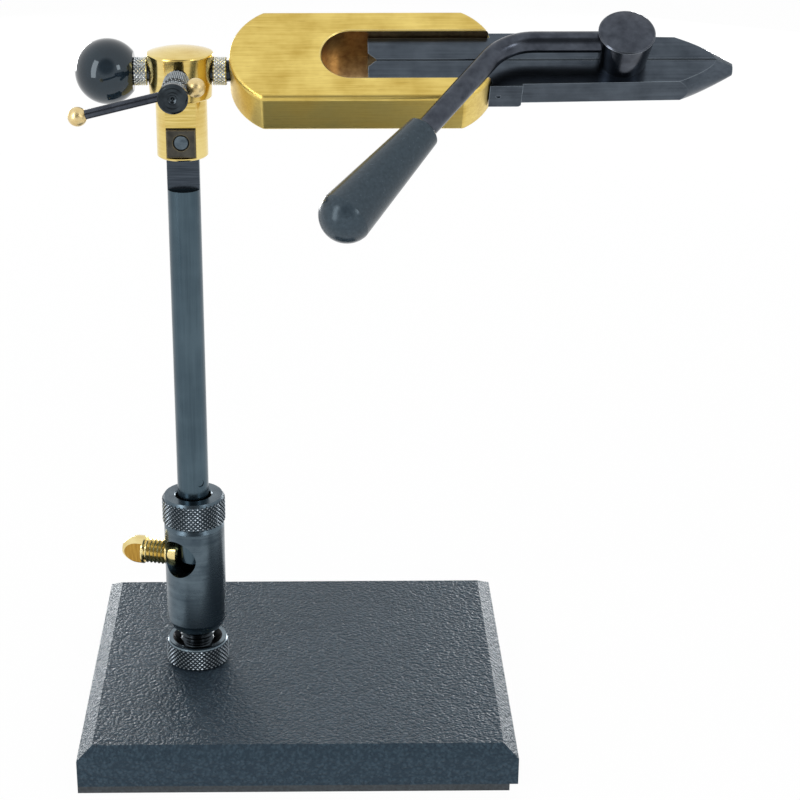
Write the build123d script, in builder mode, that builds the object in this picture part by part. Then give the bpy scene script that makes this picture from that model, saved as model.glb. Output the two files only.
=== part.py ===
from build123d import *
from math import asin, cos, radians, sin, sqrt
import os

os.makedirs("parts", exist_ok=True)

# A fly tying vise on a weighted base: a stem in a socket, a yoke with a rotary head, and two jaws
# that a cam lever opens. Millimetres, +Z up. The origin is the middle of the base's underside,
# +X runs along the jaws towards the hook, and -Y is the side that the tier sits on.

# Clearances
fit_gap = 0.02  # radial, between pieces that are screwed or pressed together
running_gap = 0.05  # radial, round a shaft or a screw that turns
face_gap = 0.1  # between faces that slide past each other
overrun = 1.0  # how far a cut runs past the material

# Base: a bevelled steel plate on a thin pad that was cut a little short
base_width = 129.6
base_depth = 111.4
plate_thickness = 11.5
bevel_run = 4.3
bevel_drop = 2.9
pad_thickness = 2.2
pad_short = 2.5
plate_top = pad_thickness + plate_thickness

# Column: each piece stands round the one before it, from the stem outwards
column_offset = 32.0  # the column stands this far left of the base's middle
stem_diameter = 9.525  # a standard 3/8 inch rod
bush_wall = 1.64
barrel_neck_wall = 1.6
barrel_shoulder = 1.25
barrel_skirt_wall = 4.05
column_x = -column_offset
stem_radius = stem_diameter / 2
bush_radius = stem_radius + bush_wall
barrel_neck_radius = bush_radius + barrel_neck_wall
barrel_radius = barrel_neck_radius + barrel_shoulder
stud_radius = barrel_radius - barrel_skirt_wall

# Stud that carries the socket, with the screw that holds it from below
stud_height = 21.0
stud_thread_pitch = 1.5
stud_thread_depth = 0.8
spigot_radius = 3.9
spigot_length = 6.0
base_screw_radius = 2.5
base_screw_length = 18.0
base_screw_head_radius = 4.8
base_screw_head_height = 2.4
base_screw_hex_radius = 1.8
base_screw_hex_depth = 1.4
base_screw_run_out = 1.0
stud_top = plate_top + stud_height

# Lower knurled lock nut
nut_step = 0.15  # how far the nut stands out past the barrel
nut_height = 7.85
nut_chamfer = 0.5
nut_mouth_flare = 2.45
nut_mouth_depth = 3.5
nut_rim_height = 0.9
nut_rim_step = 0.35
nut_radius = barrel_radius + nut_step
nut_mouth_radius = stud_radius + nut_mouth_flare

# Socket barrel
barrel_lift = 12.4  # from the plate to the barrel's lower end
barrel_height = 36.0
barrel_foot_run = 1.5
barrel_foot_rise = 2.9
barrel_crown_run = 0.65
barrel_crown_drop = 1.3
barrel_neck_height = 4.8
window_radius = 6.0
window_turn = 36.0  # degrees round to the left from the front
window_below_top = 10.1
barrel_bottom = plate_top + barrel_lift
barrel_top = barrel_bottom + barrel_height
neck_top = barrel_top + barrel_neck_height
window_height = barrel_top - window_below_top

# Upper knurled collar nut and the bush that it holds in
collar_step = 0.1  # how far the collar stands out past the barrel
collar_height = 8.8
collar_crown_run = 0.45
collar_crown_drop = 0.9
collar_edge = 0.3
collar_lip = 2.3
collar_mouth_gap = 0.74
bush_foot_below_top = 3.6
collar_radius = barrel_radius + collar_step
collar_mouth_radius = stem_radius + collar_mouth_gap
collar_bottom = barrel_top + face_gap
collar_top = collar_bottom + collar_height
bush_foot = barrel_top - bush_foot_below_top
bush_roof = collar_top - collar_lip

# Stem: a rod that stands in the barrel, flattened at its top to fit the yoke
stem_length = 137.5
stem_in_barrel = 13.6
stem_chamfer = 0.6
stem_flat_length = 18.0
stem_flat_offset = 1.25  # the flat stands this far in front of the stem's axis
stem_dimple_radius = 1.2
stem_dimple_depth = 0.35
stem_dimple_from_foot = 27.7
stem_dimple_turn = 33.0
stem_bottom = barrel_top - stem_in_barrel
stem_top = stem_bottom + stem_length
stem_ledge_height = stem_top - stem_flat_length
stem_dimple_height = stem_bottom + stem_dimple_from_foot

# Brass thumb screw through the barrel's left side
screw_below_top = 12.05
screw_turn = 14.0  # degrees round to the back from straight left
screw_radius = 3.95
screw_thread_depth = 0.65
screw_thread_pitch = 1.25
screw_thread_count = 5
screw_relief = 0.7  # the groove between the thread and the head
screw_stand_off = 6.55  # from the barrel's side to the head
screw_head_radius = 4.35
screw_head_length = 7.3
screw_nose_radius = 2.2
screw_flat_half = 3.0
screw_flat_start = 0.8  # from the back of the head
screw_neck_radius = 3.4
screw_shoulder_share = 0.3
screw_head_start = barrel_radius + screw_stand_off
screw_height = barrel_top - screw_below_top

# Yoke on the stem
yoke_bore_depth = 9.75
yoke_bore_room = 1.6  # over the stem's end
yoke_foot_wall = 2.54
yoke_foot_height = 16.95
yoke_head_radius = 9.2  # at the rotary axis, where the thrust collars bear
yoke_waist_in = 0.45
yoke_crown_out = 0.3
yoke_head_height = 12.7
yoke_dome_rise = 1.6
yoke_spot_rim = 0.35
yoke_rim_round = 0.7
yoke_edge = 0.4
yoke_flat_depth = 1.4
yoke_rim_height = 0.7
rotary_rise = 7.4  # from the head's underside to the rotary axis
yoke_foot_radius = stem_radius + yoke_foot_wall
yoke_flat_offset = yoke_foot_radius - yoke_flat_depth
yoke_bore_top = stem_top + yoke_bore_room
yoke_foot_bottom = yoke_bore_top - yoke_bore_depth
yoke_head_bottom = yoke_foot_bottom + yoke_foot_height
yoke_head_top = yoke_head_bottom + yoke_head_height
rotary_height = yoke_head_bottom + rotary_rise

# Key block and cross pin that hold the yoke on the stem
block_width = 8.4
block_height = 8.3
block_proud = 0.4
block_edge = 0.25
block_headroom = 0.4
pin_radius = 2.05
pin_above_middle = 0.3
pin_chamfer = 0.2
pin_sink_rim = 0.35  # the countersink round the pin
pin_tail = 4.0
block_bottom = yoke_foot_bottom + yoke_rim_height
block_top = block_bottom + block_height
block_front = -(yoke_flat_offset + block_proud)
block_middle = block_bottom + block_height / 2
pin_height = block_middle + pin_above_middle

# Rotary shaft, its knurled thrust collars and the ball knob
shaft_radius = 3.0
shaft_grip_depth = 13.0
shaft_neck = 0.9  # bare shaft between the right collar and the body
thrust_wall = 0.75
thrust_left_length = 3.8
thrust_right_length = 3.7
thrust_chamfer = 0.3
knob_radius = 9.2
knob_flat_depth = 1.9
knob_bore_depth = 8.0
thrust_radius = shaft_radius + thrust_wall
thrust_left_end = column_x - yoke_head_radius - face_gap
thrust_right_end = column_x + yoke_head_radius + face_gap
knob_flat_x = thrust_left_end - thrust_left_length
knob_x = knob_flat_x - (knob_radius - knob_flat_depth)
shaft_start_x = knob_flat_x - knob_bore_depth

# Tension screw on the yoke's front, its brake plug and the sliding tommy bar
tension_thread_step = 0.5  # the thread is this much slimmer than the shaft
tension_neck_step = 0.2
tension_neck_length = 6.2
tension_grip_radius = 3.55
tension_grip_length = 16.2
tension_cap_step = 0.6
tension_cap_length = 1.9
tension_cap_chamfer = 0.6
tension_dimple_radius = 1.3
tension_dimple_depth = 0.9
plug_length = 2.4
plug_room = 0.2
tommy_along_grip = 10.5
tommy_tilt = 13.7
tommy_radius = 1.3
tommy_ball_radius = 2.65
tommy_ball_flat = 2.25  # from the ball's middle to its flat
tommy_long_side = 27.2
tommy_stand_off = 0.2  # between the screw's side and the ball that stops the bar
tension_thread_radius = shaft_radius - tension_thread_step
tension_neck_radius = tension_thread_radius - tension_neck_step
tension_cap_radius = tension_grip_radius + tension_cap_step
plug_seat = shaft_radius + face_gap
tension_thread_start = plug_seat + plug_length + plug_room
tension_neck_start = yoke_head_radius + face_gap
tension_grip_start = tension_neck_start + tension_neck_length
tommy_distance = tension_grip_start + tommy_along_grip
tommy_short_side = tension_grip_radius + tommy_stand_off + tommy_ball_flat

# Jaw body: a brass slab with round ends and a pocket, rolled towards the tier
head_roll = 36.3
body_length = 75.0
body_width = 31.75
body_thickness = 14.3
body_end_ease = 2.175  # how much larger the ends' radius is than half the width
body_edge = 1.4
body_corner = 2.0
pocket_edge = 0.3
pocket_width = 17.0
pocket_from_left = 25.7
pocket_under_jaws = 0.2
body_end_radius = body_width / 2 + body_end_ease
body_left_x = thrust_right_end + thrust_right_length + shaft_neck
body_right_x = body_left_x + body_length
body_top = body_thickness / 2
pocket_left = body_left_x + pocket_from_left
end_sagitta = body_end_radius - sqrt(body_end_radius**2 - (body_width / 2) ** 2)
corner_x = body_right_x - body_end_radius

# Jaws
jaw_length = 102.7
jaw_tail_clear = 13.2  # from the pocket's end to the jaws' tails
jaw_above_axis = 4.5
jaw_below_axis = 3.5
jaw_split = 0.16
jaw_break = 0.3  # the broken edge along the split
jaw_side_clear = 0.5
jaw_shoulder_step = 0.9
jaw_front_step = 0.1
jaw_notch_run = 2.4
jaw_notch_depth = 2.4
lug_rear_clear = 0.4
lug_length = 8.6
lug_out = 0.75
lug_down = 0.85
lug_round = 1.0
lug_dimple_radius = 0.65
lug_dimple_depth = 0.3
lug_dimple_back = 6.6  # from the lug's front
nose_start_back = 16.05
nose_mid_back = 5.25
nose_mid_radius = 4.5
nose_end_radius = 1.7
pivot_from_tail = 5.2
pivot_offset = 4.1
pivot_radius = 1.75
pivot_depth = 5.2
pivot_head_radius = 2.9
pivot_head_height = 1.5
pivot_head_sink = 0.2
pivot_slot_width = 0.7
pivot_slot_depth = 0.7
spring_from_end = 12.9
spring_radius = 2.1
spring_wall = 0.7
spring_cheek = 2.375  # brass left behind the spring
spring_height = 0.9
jaw_top = jaw_above_axis
jaw_bottom = -jaw_below_axis
pocket_floor = jaw_bottom - pocket_under_jaws
jaw_tail_x = pocket_left + jaw_tail_clear
jaw_tip_x = jaw_tail_x + jaw_length
jaw_tail_half = pocket_width / 2 - jaw_side_clear
jaw_shoulder_half = jaw_tail_half + jaw_shoulder_step
jaw_front_half = jaw_tail_half + jaw_front_step
nose_start_radius = sqrt(jaw_front_half**2 + jaw_top**2)
lug_rear_x = corner_x + sqrt(body_end_radius**2 - (pocket_width / 2) ** 2) + lug_rear_clear
lug_front_x = lug_rear_x + lug_length
pivot_x = jaw_tail_x + pivot_from_tail
spring_x = body_right_x - spring_from_end
spring_end = body_width / 2 - spring_cheek

# Cam hub, lever and grip
hub_from_tip = 31.5
hub_foot_radius = 6.7
hub_rim_radius = 7.9
hub_roof = 1.2  # over the rod
hub_dome_rise = 1.2
hub_edge = 0.35
cam_narrow_half = 2.8
cam_wide_half = 4.0
cam_room = 0.5
rod_radius = 2.95
rod_over_body = 1.65
rod_bore_depth = 5.5
bend_from_hub = 33.3
bend_radius = 16.0
lever_turn = 53.0
grip_start = 39.2
grip_length = 35.8
grip_start_radius = 4.85
grip_end_radius = 7.5
grip_start_edge = 0.6
grip_dome_rise = 6.6
grip_bore_depth = 26.0
washer_radius = 6.0
washer_thickness = 0.9
cam_screw_radius = 1.5
cam_screw_head_radius = 3.0
cam_screw_head_height = 1.9
cam_screw_length = 9.0
cam_screw_slot_width = 0.8
cam_screw_slot_depth = 0.9
hub_x = jaw_tip_x - hub_from_tip
hub_foot = jaw_top + face_gap
rod_height = body_top + rod_over_body + rod_radius
hub_rim = rod_height + rod_radius + hub_roof
bend_x = hub_x - bend_from_hub
washer_top = jaw_bottom - face_gap
washer_bottom = washer_top - washer_thickness


def lathe_plane(origin, axis, radial):
    """A plane whose local X is a radius and whose local Y is the axis of a turned piece."""
    return Plane(origin=origin, x_dir=radial, z_dir=Vector(radial).cross(Vector(axis)))


def turned(plane, points, mode=Mode.ADD):
    """Turns a closed outline of (radius, distance along the axis) points about the plane's Y axis."""
    with BuildSketch(plane) as outline:
        with BuildLine():
            Polyline(*points, close=True)
        make_face()
    revolve(outline.sketch, axis=Axis(plane.origin, plane.y_dir), mode=mode)


def domed(plane, points, rise, mode=Mode.ADD):
    """Turns an outline whose last point is the rim of a dome of the given rise."""
    rim_radius, rim = points[-1]
    ball = (rim_radius**2 + rise**2) / (2 * rise)
    half_radius = ball * sin(asin(rim_radius / ball) / 2)
    half_rise = rim + rise - (ball - sqrt(ball**2 - half_radius**2))
    apex = (0, rim + rise)
    with BuildSketch(plane) as outline:
        with BuildLine():
            Polyline(apex, *points)
            ThreePointArc(points[-1], (half_radius, half_rise), apex)
        make_face()
    revolve(outline.sketch, axis=Axis(plane.origin, plane.y_dir), mode=mode)


def drilled(plane, radius, depth):
    """Drills a round hole from the plane along its normal."""
    with BuildSketch(plane) as mouth:
        Circle(radius)
    extrude(mouth.sketch, amount=depth, mode=Mode.SUBTRACT)


def slotted(plane, length, width, depth):
    """Cuts a straight screwdriver slot from the plane along its normal."""
    with BuildSketch(plane) as mouth:
        Rectangle(length, width)
    extrude(mouth.sketch, amount=depth, mode=Mode.SUBTRACT)


def thread_outline(crest, root, start, pitch, count):
    """The crests and roots of a thread, from its start along the axis."""
    points = []
    for turn in range(count):
        points.append((crest, start + turn * pitch))
        points.append((root, start + turn * pitch + pitch / 2))
    points.append((crest, start + count * pitch))
    return points


def finish(piece, name):
    """Labels a piece and writes it."""
    piece.part.label = name
    export_step(piece.part, f"parts/{name}.step")


# Planes that the pieces are built on
column_axis = lathe_plane((column_x, 0, 0), (0, 0, 1), (1, 0, 0))
screw_direction = (-cos(radians(screw_turn)), sin(radians(screw_turn)), 0)
screw_side = (sin(radians(screw_turn)), cos(radians(screw_turn)), 0)
screw_axis = lathe_plane((column_x, 0, screw_height), screw_direction, (0, 0, 1))
tension_axis = lathe_plane((column_x, 0, rotary_height), (0, -1, 0), (0, 0, 1))
rotary_axis = lathe_plane((0, 0, rotary_height), (1, 0, 0), (0, 0, 1))
tommy_direction = (cos(radians(tommy_tilt)), 0, sin(radians(tommy_tilt)))
tommy_axis = lathe_plane((column_x, -tommy_distance, rotary_height), tommy_direction, (0, 1, 0))
head_normal = (0, -sin(radians(head_roll)), cos(radians(head_roll)))
head = Plane(origin=(0, 0, rotary_height), x_dir=(1, 0, 0), z_dir=head_normal)


def head_axis(x, y):
    """A lathe plane on the head, square to its face, with its origin on the rotary axis's level."""
    return lathe_plane(head.from_local_coords(Vector(x, y, 0)), head_normal, (1, 0, 0))


# Base plate with its bevelled top and the seat of the stud
with BuildPart() as base_plate:
    with BuildSketch(Plane.XY.offset(pad_thickness)):
        Rectangle(base_width, base_depth)
    extrude(amount=plate_thickness - bevel_drop)
    with BuildSketch(Plane.XY.offset(plate_top - bevel_drop)):
        Rectangle(base_width, base_depth)
    with BuildSketch(Plane.XY.offset(plate_top)):
        Rectangle(base_width - 2 * bevel_run, base_depth - 2 * bevel_run)
    loft()
    turned(
        column_axis,
        [
            (0, pad_thickness - overrun),
            (base_screw_head_radius + running_gap, pad_thickness - overrun),
            (base_screw_head_radius + running_gap, pad_thickness),
            (base_screw_radius + running_gap, pad_thickness + base_screw_head_height),
            (base_screw_radius + running_gap, plate_top - spigot_length),
            (spigot_radius + fit_gap, plate_top - spigot_length),
            (spigot_radius + fit_gap, plate_top + overrun),
            (0, plate_top + overrun),
        ],
        Mode.SUBTRACT,
    )
finish(base_plate, "base_plate")

with BuildPart() as base_pad:
    with BuildSketch():
        with Locations((-pad_short / 2, 0)):
            Rectangle(base_width - pad_short, base_depth)
    extrude(amount=pad_thickness)
finish(base_pad, "base_pad")

# Threaded stud, shouldered on the plate
with BuildPart() as base_stud:
    thread_turns = int(stud_height / stud_thread_pitch)
    turned(
        column_axis,
        [
            (0, plate_top - spigot_length),
            (spigot_radius, plate_top - spigot_length),
            (spigot_radius, plate_top),
            *thread_outline(
                stud_radius,
                stud_radius - stud_thread_depth,
                plate_top,
                stud_thread_pitch,
                thread_turns,
            ),
            (stud_radius - stud_thread_depth, stud_top),
            (0, stud_top),
        ],
    )
    drilled(
        Plane((column_x, 0, plate_top - spigot_length)),
        base_screw_radius + fit_gap,
        base_screw_length + base_screw_run_out - plate_thickness + spigot_length,
    )
finish(base_stud, "base_stud")

with BuildPart() as base_screw:
    turned(
        column_axis,
        [
            (0, pad_thickness),
            (base_screw_head_radius, pad_thickness),
            (base_screw_radius, pad_thickness + base_screw_head_height),
            (base_screw_radius, pad_thickness + base_screw_length),
            (0, pad_thickness + base_screw_length),
        ],
    )
    with BuildSketch(Plane((column_x, 0, pad_thickness))):
        RegularPolygon(base_screw_hex_radius, 6)
    extrude(amount=base_screw_hex_depth, mode=Mode.SUBTRACT)
finish(base_screw, "base_screw")

# Lower lock nut: a turned ring with a plain upper rim and an open mouth
with BuildPart() as lock_nut:
    nut_top = plate_top + face_gap + nut_height
    turned(
        column_axis,
        [
            (stud_radius + running_gap, plate_top + face_gap),
            (nut_radius - nut_chamfer, plate_top + face_gap),
            (nut_radius, plate_top + face_gap + nut_chamfer),
            (nut_radius, nut_top - nut_rim_height),
            (nut_radius - nut_rim_step, nut_top - nut_rim_height + nut_rim_step),
            (nut_radius - nut_rim_step, nut_top),
            (nut_mouth_radius, nut_top),
            (stud_radius + running_gap, nut_top - nut_mouth_depth),
        ],
    )
finish(lock_nut, "lock_nut")

# Socket barrel: female thread below, stem bore, bush seat and a threaded neck above
with BuildPart() as socket_barrel:
    stud_bore = stud_radius + fit_gap
    stem_bore = stem_radius + running_gap
    bush_bore = bush_radius + running_gap
    turned(
        column_axis,
        [
            (stud_bore, barrel_bottom),
            (barrel_radius - barrel_foot_run, barrel_bottom),
            (barrel_radius, barrel_bottom + barrel_foot_rise),
            (barrel_radius, barrel_top - barrel_crown_drop),
            (barrel_radius - barrel_crown_run, barrel_top),
            (barrel_neck_radius, barrel_top),
            (barrel_neck_radius, neck_top),
            (bush_bore, neck_top),
            (bush_bore, bush_foot),
            (stem_bore, bush_foot),
            (stem_bore, stud_top),
            (stud_bore, stud_top),
        ],
    )
    window_angle = radians(window_turn)
    window_direction = (-sin(window_angle), -cos(window_angle), 0)
    drilled(
        Plane((column_x, 0, window_height), z_dir=window_direction),
        window_radius,
        barrel_radius + overrun,
    )
    drilled(
        Plane((column_x, 0, screw_height), z_dir=screw_direction),
        screw_radius + running_gap,
        barrel_radius + overrun,
    )
finish(socket_barrel, "socket_barrel")

# Upper collar nut, screwed on the barrel's neck, with a lip over the bush
with BuildPart() as collar_nut:
    neck_bore = barrel_neck_radius + running_gap
    turned(
        column_axis,
        [
            (neck_bore, collar_bottom),
            (collar_radius - collar_edge, collar_bottom),
            (collar_radius, collar_bottom + collar_edge),
            (collar_radius, collar_top - collar_crown_drop),
            (collar_radius - collar_crown_run, collar_top),
            (collar_mouth_radius + collar_edge, collar_top),
            (collar_mouth_radius, collar_top - collar_edge),
            (collar_mouth_radius, bush_roof),
            (bush_radius + running_gap, bush_roof),
            (bush_radius + running_gap, neck_top + face_gap),
            (neck_bore, neck_top + face_gap),
        ],
    )
finish(collar_nut, "collar_nut")

with BuildPart() as stem_bush:
    turned(
        column_axis,
        [
            (stem_radius + running_gap, bush_foot + face_gap),
            (bush_radius, bush_foot + face_gap),
            (bush_radius, bush_roof - face_gap),
            (stem_radius + running_gap, bush_roof - face_gap),
        ],
    )
finish(stem_bush, "stem_bush")

# Thumb screw: threaded shank and a bullet-nosed head with two finger flats
with BuildPart() as thumb_screw:
    head_end = screw_head_start + screw_head_length
    screw_root = screw_radius - screw_thread_depth
    relief_start = screw_head_start - screw_relief
    thread_start = relief_start - screw_thread_count * screw_thread_pitch
    shoulder = screw_head_start + screw_head_length * screw_shoulder_share
    with BuildSketch(screw_axis):
        with BuildLine():
            Polyline(
                (0, head_end),
                (0, stem_radius + face_gap),
                (screw_neck_radius, stem_radius + face_gap),
                (screw_radius, stem_radius + face_gap + screw_radius - screw_neck_radius),
                *thread_outline(
                    screw_radius,
                    screw_root,
                    thread_start,
                    screw_thread_pitch,
                    screw_thread_count,
                ),
                (screw_root, relief_start),
                (screw_root, screw_head_start),
                (screw_radius, screw_head_start),
                (screw_head_radius, screw_head_start + screw_head_radius - screw_radius),
                (screw_head_radius, shoulder),
            )
            RadiusArc(
                (screw_head_radius, shoulder), (screw_nose_radius, head_end), -screw_head_length
            )
            Line((screw_nose_radius, head_end), (0, head_end))
        make_face()
    revolve(axis=Axis(screw_axis.origin, screw_axis.y_dir))
    flat_middle = screw_flat_half + screw_head_radius
    flat_plane = Plane(
        screw_axis.origin + Vector(screw_direction) * (screw_head_start + screw_flat_start),
        x_dir=screw_side,
        z_dir=screw_direction,
    )
    with BuildSketch(flat_plane):
        with Locations((flat_middle, 0), (-flat_middle, 0)):
            Rectangle(2 * screw_head_radius, 2 * screw_head_radius + overrun)
    extrude(amount=screw_head_length, mode=Mode.SUBTRACT)
finish(thumb_screw, "thumb_screw")

# Stem, with its flattened top, a drilled dimple and the hole of the cross pin
with BuildPart() as stem:
    turned(
        column_axis,
        [
            (0, stem_bottom),
            (stem_radius - stem_chamfer, stem_bottom),
            (stem_radius, stem_bottom + stem_chamfer),
            (stem_radius, stem_top),
            (0, stem_top),
        ],
    )
    with BuildSketch(Plane((column_x, -stem_flat_offset - stem_radius, stem_ledge_height))):
        Rectangle(2 * stem_diameter, stem_diameter)
    extrude(amount=stem_top - stem_ledge_height + overrun, mode=Mode.SUBTRACT)
    drilled(
        Plane((column_x, -stem_radius, pin_height), z_dir=(0, 1, 0)),
        pin_radius + fit_gap,
        stem_diameter,
    )
    dimple_angle = radians(stem_dimple_turn)
    dimple_direction = Vector(sin(dimple_angle), -cos(dimple_angle), 0)
    dimple_floor = Vector(column_x, 0, stem_dimple_height) + dimple_direction * (
        stem_radius - stem_dimple_depth
    )
    drilled(Plane(dimple_floor, z_dir=dimple_direction), stem_dimple_radius, overrun)
finish(stem, "stem")

# Yoke: a stepped brass cylinder with a domed top, bored for the stem, the shaft and the screw
block_seat = Plane((column_x, -stem_flat_offset, block_middle), x_dir=(1, 0, 0), z_dir=(0, -1, 0))

with BuildPart() as yoke:
    domed(
        column_axis,
        [
            (0, yoke_foot_bottom),
            (yoke_foot_radius - yoke_edge, yoke_foot_bottom),
            (yoke_foot_radius, yoke_foot_bottom + yoke_edge),
            (yoke_foot_radius, yoke_head_bottom),
            (yoke_head_radius - yoke_waist_in - yoke_edge, yoke_head_bottom),
            (yoke_head_radius - yoke_waist_in, yoke_head_bottom + yoke_edge),
            (yoke_head_radius + yoke_crown_out, yoke_head_top),
        ],
        yoke_dome_rise,
    )
    fillet(yoke.faces().sort_by(Axis.Z)[-1].edges().sort_by(SortBy.LENGTH)[-1], yoke_rim_round)
    with BuildSketch(Plane((column_x, -yoke_flat_offset - yoke_foot_radius, block_bottom))):
        Rectangle(4 * yoke_foot_radius, 2 * yoke_foot_radius)
    extrude(amount=yoke_head_bottom - block_bottom, mode=Mode.SUBTRACT)
    drilled(
        Plane((column_x, 0, yoke_foot_bottom)),
        stem_radius + fit_gap,
        yoke_bore_top - yoke_foot_bottom,
    )
    with BuildSketch(block_seat):
        with Locations((0, block_headroom / 2)):
            Rectangle(block_width + 2 * fit_gap, block_height + 2 * fit_gap + block_headroom)
    extrude(amount=yoke_foot_radius + overrun, mode=Mode.SUBTRACT)
    drilled(
        Plane((thrust_left_end, 0, rotary_height), z_dir=(1, 0, 0)),
        shaft_radius + running_gap,
        thrust_right_end - thrust_left_end,
    )
    for side in (1, -1):
        drilled(
            Plane((column_x + side * yoke_head_radius, 0, rotary_height), z_dir=(side, 0, 0)),
            thrust_radius + yoke_spot_rim,
            overrun,
        )
    drilled(
        Plane((column_x, 0, rotary_height), z_dir=(0, -1, 0)),
        tension_thread_radius + running_gap,
        yoke_head_radius + overrun,
    )
finish(yoke, "yoke")

with BuildPart() as key_block:
    with BuildSketch(block_seat):
        Rectangle(block_width, block_height)
    extrude(amount=-block_front - stem_flat_offset)
    chamfer(key_block.faces().sort_by(Axis.Y)[0].edges(), block_edge)
    with Locations(Plane((column_x, block_front, pin_height), z_dir=(0, -1, 0))):
        CounterSinkHole(pin_radius + fit_gap, pin_radius + pin_sink_rim)
finish(key_block, "key_block")

with BuildPart() as cross_pin:
    with BuildSketch(Plane((column_x, block_front, pin_height), z_dir=(0, 1, 0))):
        Circle(pin_radius)
    extrude(amount=pin_tail - block_front)
    chamfer(cross_pin.edges().filter_by(GeomType.CIRCLE).sort_by(Axis.Y)[0], pin_chamfer)
finish(cross_pin, "cross_pin")

# Brake plug between the tension screw and the rotary shaft
with BuildPart() as brake_plug:
    with BuildSketch(Plane((column_x, -plug_seat, rotary_height), z_dir=(0, -1, 0))):
        Circle(tension_thread_radius - running_gap)
    extrude(amount=plug_length)
finish(brake_plug, "brake_plug")

# Tension screw: thread, neck, knurled grip and a capped end with a centre dimple
with BuildPart() as tension_screw:
    cap_from = tension_grip_start + tension_grip_length
    cap_to = cap_from + tension_cap_length
    turned(
        tension_axis,
        [
            (0, tension_thread_start),
            (tension_thread_radius, tension_thread_start),
            (tension_thread_radius, tension_neck_start),
            (tension_neck_radius, tension_neck_start),
            (tension_neck_radius, tension_grip_start),
            (tension_grip_radius, tension_grip_start),
            (tension_grip_radius, cap_from),
            (tension_cap_radius, cap_from),
            (tension_cap_radius, cap_to - tension_cap_chamfer),
            (tension_cap_radius - tension_cap_chamfer, cap_to),
            (tension_dimple_radius, cap_to),
            (0, cap_to - tension_dimple_depth),
        ],
    )
    drilled(
        Plane(
            tommy_axis.origin - Vector(tommy_direction) * (tension_grip_radius + overrun),
            z_dir=tommy_direction,
        ),
        tommy_radius + running_gap,
        2 * (tension_grip_radius + overrun),
    )
finish(tension_screw, "tension_screw")

# Tommy bar, slid down until its upper ball meets the screw, with a brass ball on each end
with BuildPart() as tommy_bar:
    turned(
        tommy_axis,
        [
            (0, -tommy_long_side),
            (tommy_radius, -tommy_long_side),
            (tommy_radius, tommy_short_side),
            (0, tommy_short_side),
        ],
    )
finish(tommy_bar, "tommy_bar")

for ball_name, ball_place, outward in (
    ("tommy_ball_left", -tommy_long_side, -1),
    ("tommy_ball_right", tommy_short_side, 1),
):
    ball_bore = tommy_radius + fit_gap
    flat_radius = sqrt(tommy_ball_radius**2 - tommy_ball_flat**2)
    with BuildPart() as tommy_ball:
        with BuildSketch(tommy_axis) as outline:
            with BuildLine():
                Polyline(
                    (flat_radius, ball_place - outward * tommy_ball_flat),
                    (ball_bore, ball_place - outward * tommy_ball_flat),
                    (ball_bore, ball_place),
                    (0, ball_place),
                    (0, ball_place + outward * tommy_ball_radius),
                )
                ThreePointArc(
                    (0, ball_place + outward * tommy_ball_radius),
                    (tommy_ball_radius, ball_place),
                    (flat_radius, ball_place - outward * tommy_ball_flat),
                )
            make_face()
        revolve(outline.sketch, axis=Axis(tommy_axis.origin, tommy_axis.y_dir))
    finish(tommy_ball, ball_name)

# Rotary shaft with a thrust collar on each side of the yoke, and the ball knob
with BuildPart() as rotary_shaft:
    turned(
        rotary_axis,
        [
            (0, shaft_start_x),
            (shaft_radius, shaft_start_x),
            (shaft_radius, body_left_x + shaft_grip_depth),
            (0, body_left_x + shaft_grip_depth),
        ],
    )
finish(rotary_shaft, "rotary_shaft")

for collar_name, from_x, to_x in (
    ("thrust_collar_left", knob_flat_x, thrust_left_end),
    ("thrust_collar_right", thrust_right_end, thrust_right_end + thrust_right_length),
):
    with BuildPart() as thrust_collar:
        turned(
            rotary_axis,
            [
                (shaft_radius + fit_gap, from_x),
                (thrust_radius - thrust_chamfer, from_x),
                (thrust_radius, from_x + thrust_chamfer),
                (thrust_radius, to_x - thrust_chamfer),
                (thrust_radius - thrust_chamfer, to_x),
                (shaft_radius + fit_gap, to_x),
            ],
        )
    finish(thrust_collar, collar_name)

with BuildPart() as ball_knob:
    with Locations((knob_x, 0, rotary_height)):
        Sphere(knob_radius)
    with BuildSketch(Plane((knob_flat_x, 0, rotary_height), z_dir=(1, 0, 0))):
        Circle(knob_radius)
    extrude(amount=knob_radius, mode=Mode.SUBTRACT)
    drilled(
        Plane((knob_flat_x, 0, rotary_height), z_dir=(-1, 0, 0)),
        shaft_radius + fit_gap,
        knob_bore_depth,
    )
finish(ball_knob, "ball_knob")

# Jaw body: the slab, its pocket, the shaft's hole, the pivots' holes and the springs' blind bores
half_width = body_width / 2
body_left_edge = body_left_x + end_sagitta
body_right_edge = body_right_x - end_sagitta
pocket_end_x = pocket_left + pocket_width / 2
pivot_room = pivot_radius + running_gap
pivot_head_room = pivot_head_radius + running_gap


def pocket_mouth(spread):
    """The pocket's outline, open at the body's right end, widened by the given amount."""
    with Locations((pocket_end_x, 0)):
        Circle(pocket_width / 2 + spread)
    with Locations(((pocket_end_x + body_right_x + overrun) / 2, 0)):
        Rectangle(body_right_x + overrun - pocket_end_x, pocket_width + 2 * spread)


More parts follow.
